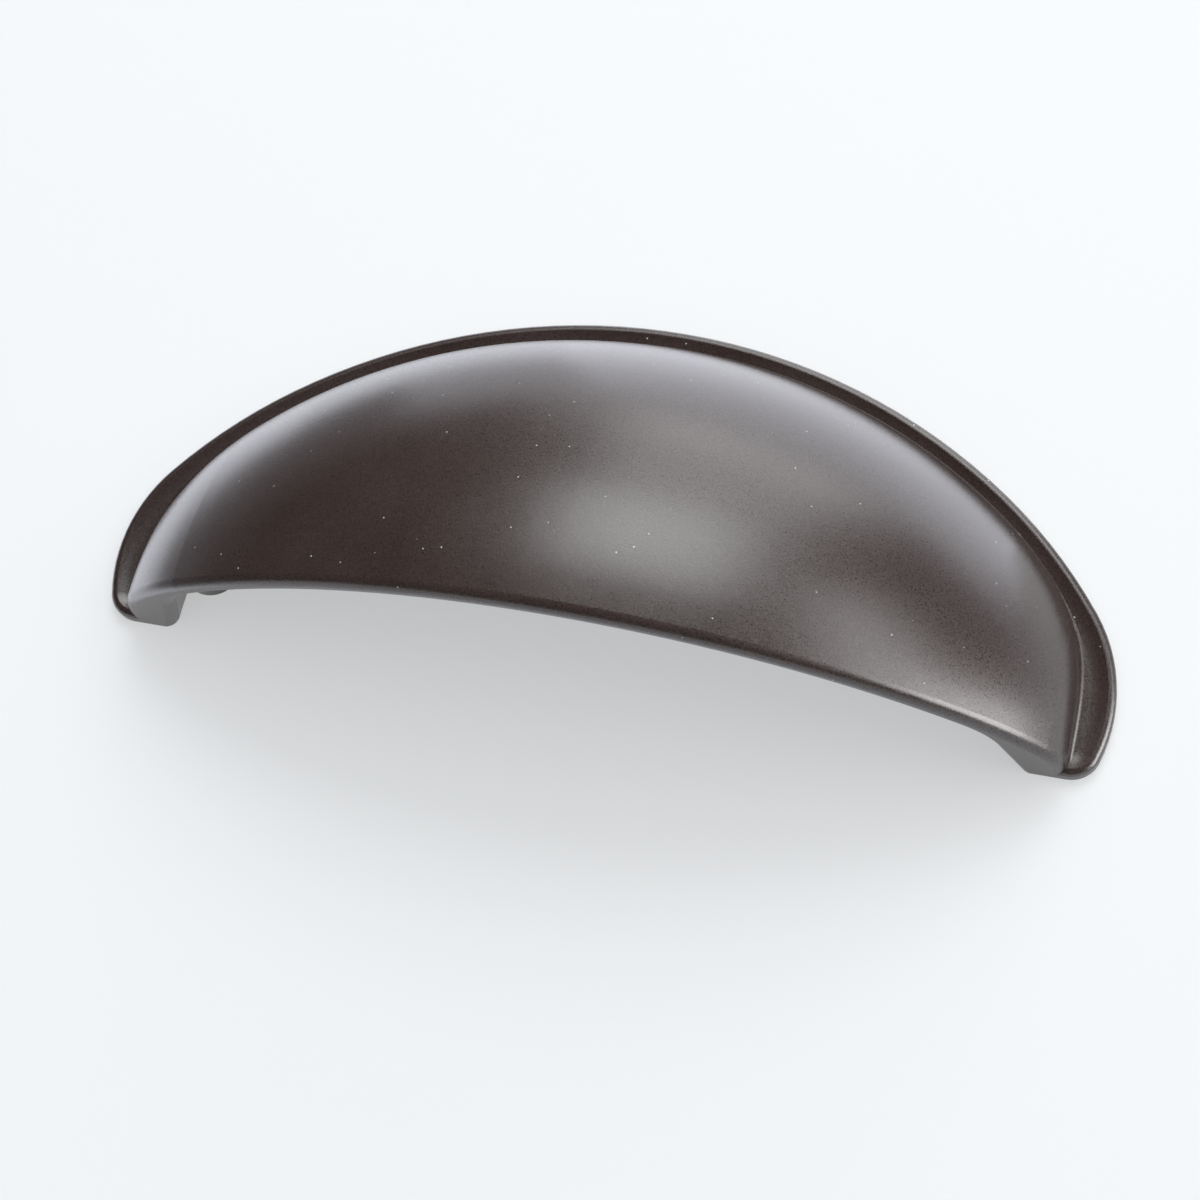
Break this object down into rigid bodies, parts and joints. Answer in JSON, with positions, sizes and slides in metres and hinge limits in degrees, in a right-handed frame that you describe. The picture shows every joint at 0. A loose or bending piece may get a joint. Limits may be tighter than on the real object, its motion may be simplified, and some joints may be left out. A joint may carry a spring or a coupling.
{
  "type": "cup pull",
  "caption": "Cast cup pull for a drawer: a half-dome finger cup with a rolled flange round its back, an open mouth below, and screw posts inside its ends.",
  "frame": {"origin": "midway between the screw holes, on the flat back", "axes": "X along the pull, +Y to the crown of the flange, -Y out of the mouth, +Z out from the drawer front"},
  "size_m": [0.095, 0.0366, 0.0248],
  "materials": {
    "bronze_coat": "satin, dark oil-rubbed bronze coat"
  },
  "bodies": {
    "root": {"cup_pull": "bronze_coat"}
  },
  "joints": []
}
